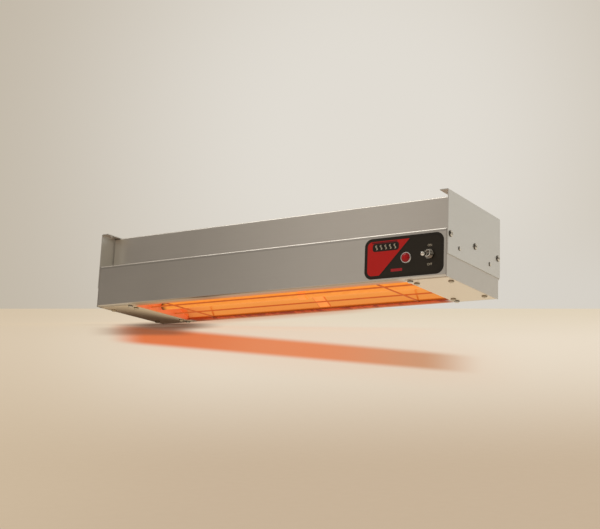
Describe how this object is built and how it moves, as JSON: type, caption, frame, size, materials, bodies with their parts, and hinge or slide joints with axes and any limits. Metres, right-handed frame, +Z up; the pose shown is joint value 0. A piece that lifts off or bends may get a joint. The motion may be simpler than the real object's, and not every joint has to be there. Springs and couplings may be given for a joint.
{
  "type": "overhead strip heat warmer",
  "caption": "Overhead strip heat warmer: folded stainless housing hung by end brackets, glowing element in a reflector trough behind a wire guard, toggle switch and pilot light.",
  "frame": {"origin": "centre of the four shelf bolt holes, on the top plane of the end brackets", "axes": "+X to the right along the length as seen from the controls, +Y to the rear, +Z up"},
  "size_m": [0.6144, 0.1927, 0.1204],
  "materials": {
    "stainless": "brushed along the length",
    "bracket_stainless": "brushed",
    "plated_screw": "nickel plated",
    "brass_part": "plain",
    "inner_sheet": "mill finish",
    "reflector_sheet": "bright, lit by the element",
    "ceramic_fibre": "felted",
    "hot_sheath": "oxidised, glowing",
    "ceramic_part": "unglazed",
    "support_strap": "heat tinted",
    "guard_wire": "heat darkened",
    "overlay_film": "printed film",
    "chromed": "polished",
    "red_lens": "clear red, lit",
    "white_nylon": "moulded",
    "black_phenolic": "moulded",
    "green_screw": "dyed zinc",
    "black_lead": "braided sleeve",
    "red_lead": "braided sleeve",
    "white_lead": "braided sleeve",
    "green_lead": "braided sleeve"
  },
  "bodies": {
    "warmer": {"housing": "stainless", "end_cap_left": "stainless", "end_cap_right": "stainless", "bracket_left": "bracket_stainless", "bracket_right": "bracket_stainless", "bracket_screws": "plated_screw", "bracket_rivets": "plated_screw", "cover_left": "stainless", "cover_right": "stainless", "cover_screws": "plated_screw", "cover_edge_screws": "plated_screw", "divider_left": "inner_sheet", "divider_right": "inner_sheet", "reflector": "reflector_sheet", "insulation_blanket": "ceramic_fibre", "heating_element": "hot_sheath", "element_bushings": "brass_part", "element_insulators": "ceramic_part", "element_posts": "plated_screw", "element_support": "support_strap", "guard_rails": "guard_wire", "guard_crossbars": "guard_wire", "control_overlay": "overlay_film", "pilot_bezel": "chromed", "pilot_lens": "red_lens", "pilot_body": "white_nylon", "pilot_tabs": "brass_part", "switch_body": "black_phenolic", "switch_bushing": "chromed", "switch_nut": "chromed", "switch_pin": "chromed", "switch_terminals": "brass_part", "terminal_block": "white_nylon", "terminal_screws": "brass_part", "entry_bushing": "black_phenolic", "ground_screw": "green_screw", "lead_line": "black_lead", "lead_load": "red_lead", "lead_neutral": "white_lead", "lead_ground": "green_lead", "lead_pilot": "white_lead"},
    "toggle": {"switch_lever": "chromed"}
  },
  "joints": [
    {"name": "toggle_throw", "type": "hinge", "parent": "warmer", "child": "toggle", "pos_m": [0.279, -0.0885, -0.087], "axis": [-1, 0, 0], "range_deg": [0, 26]}
  ]
}
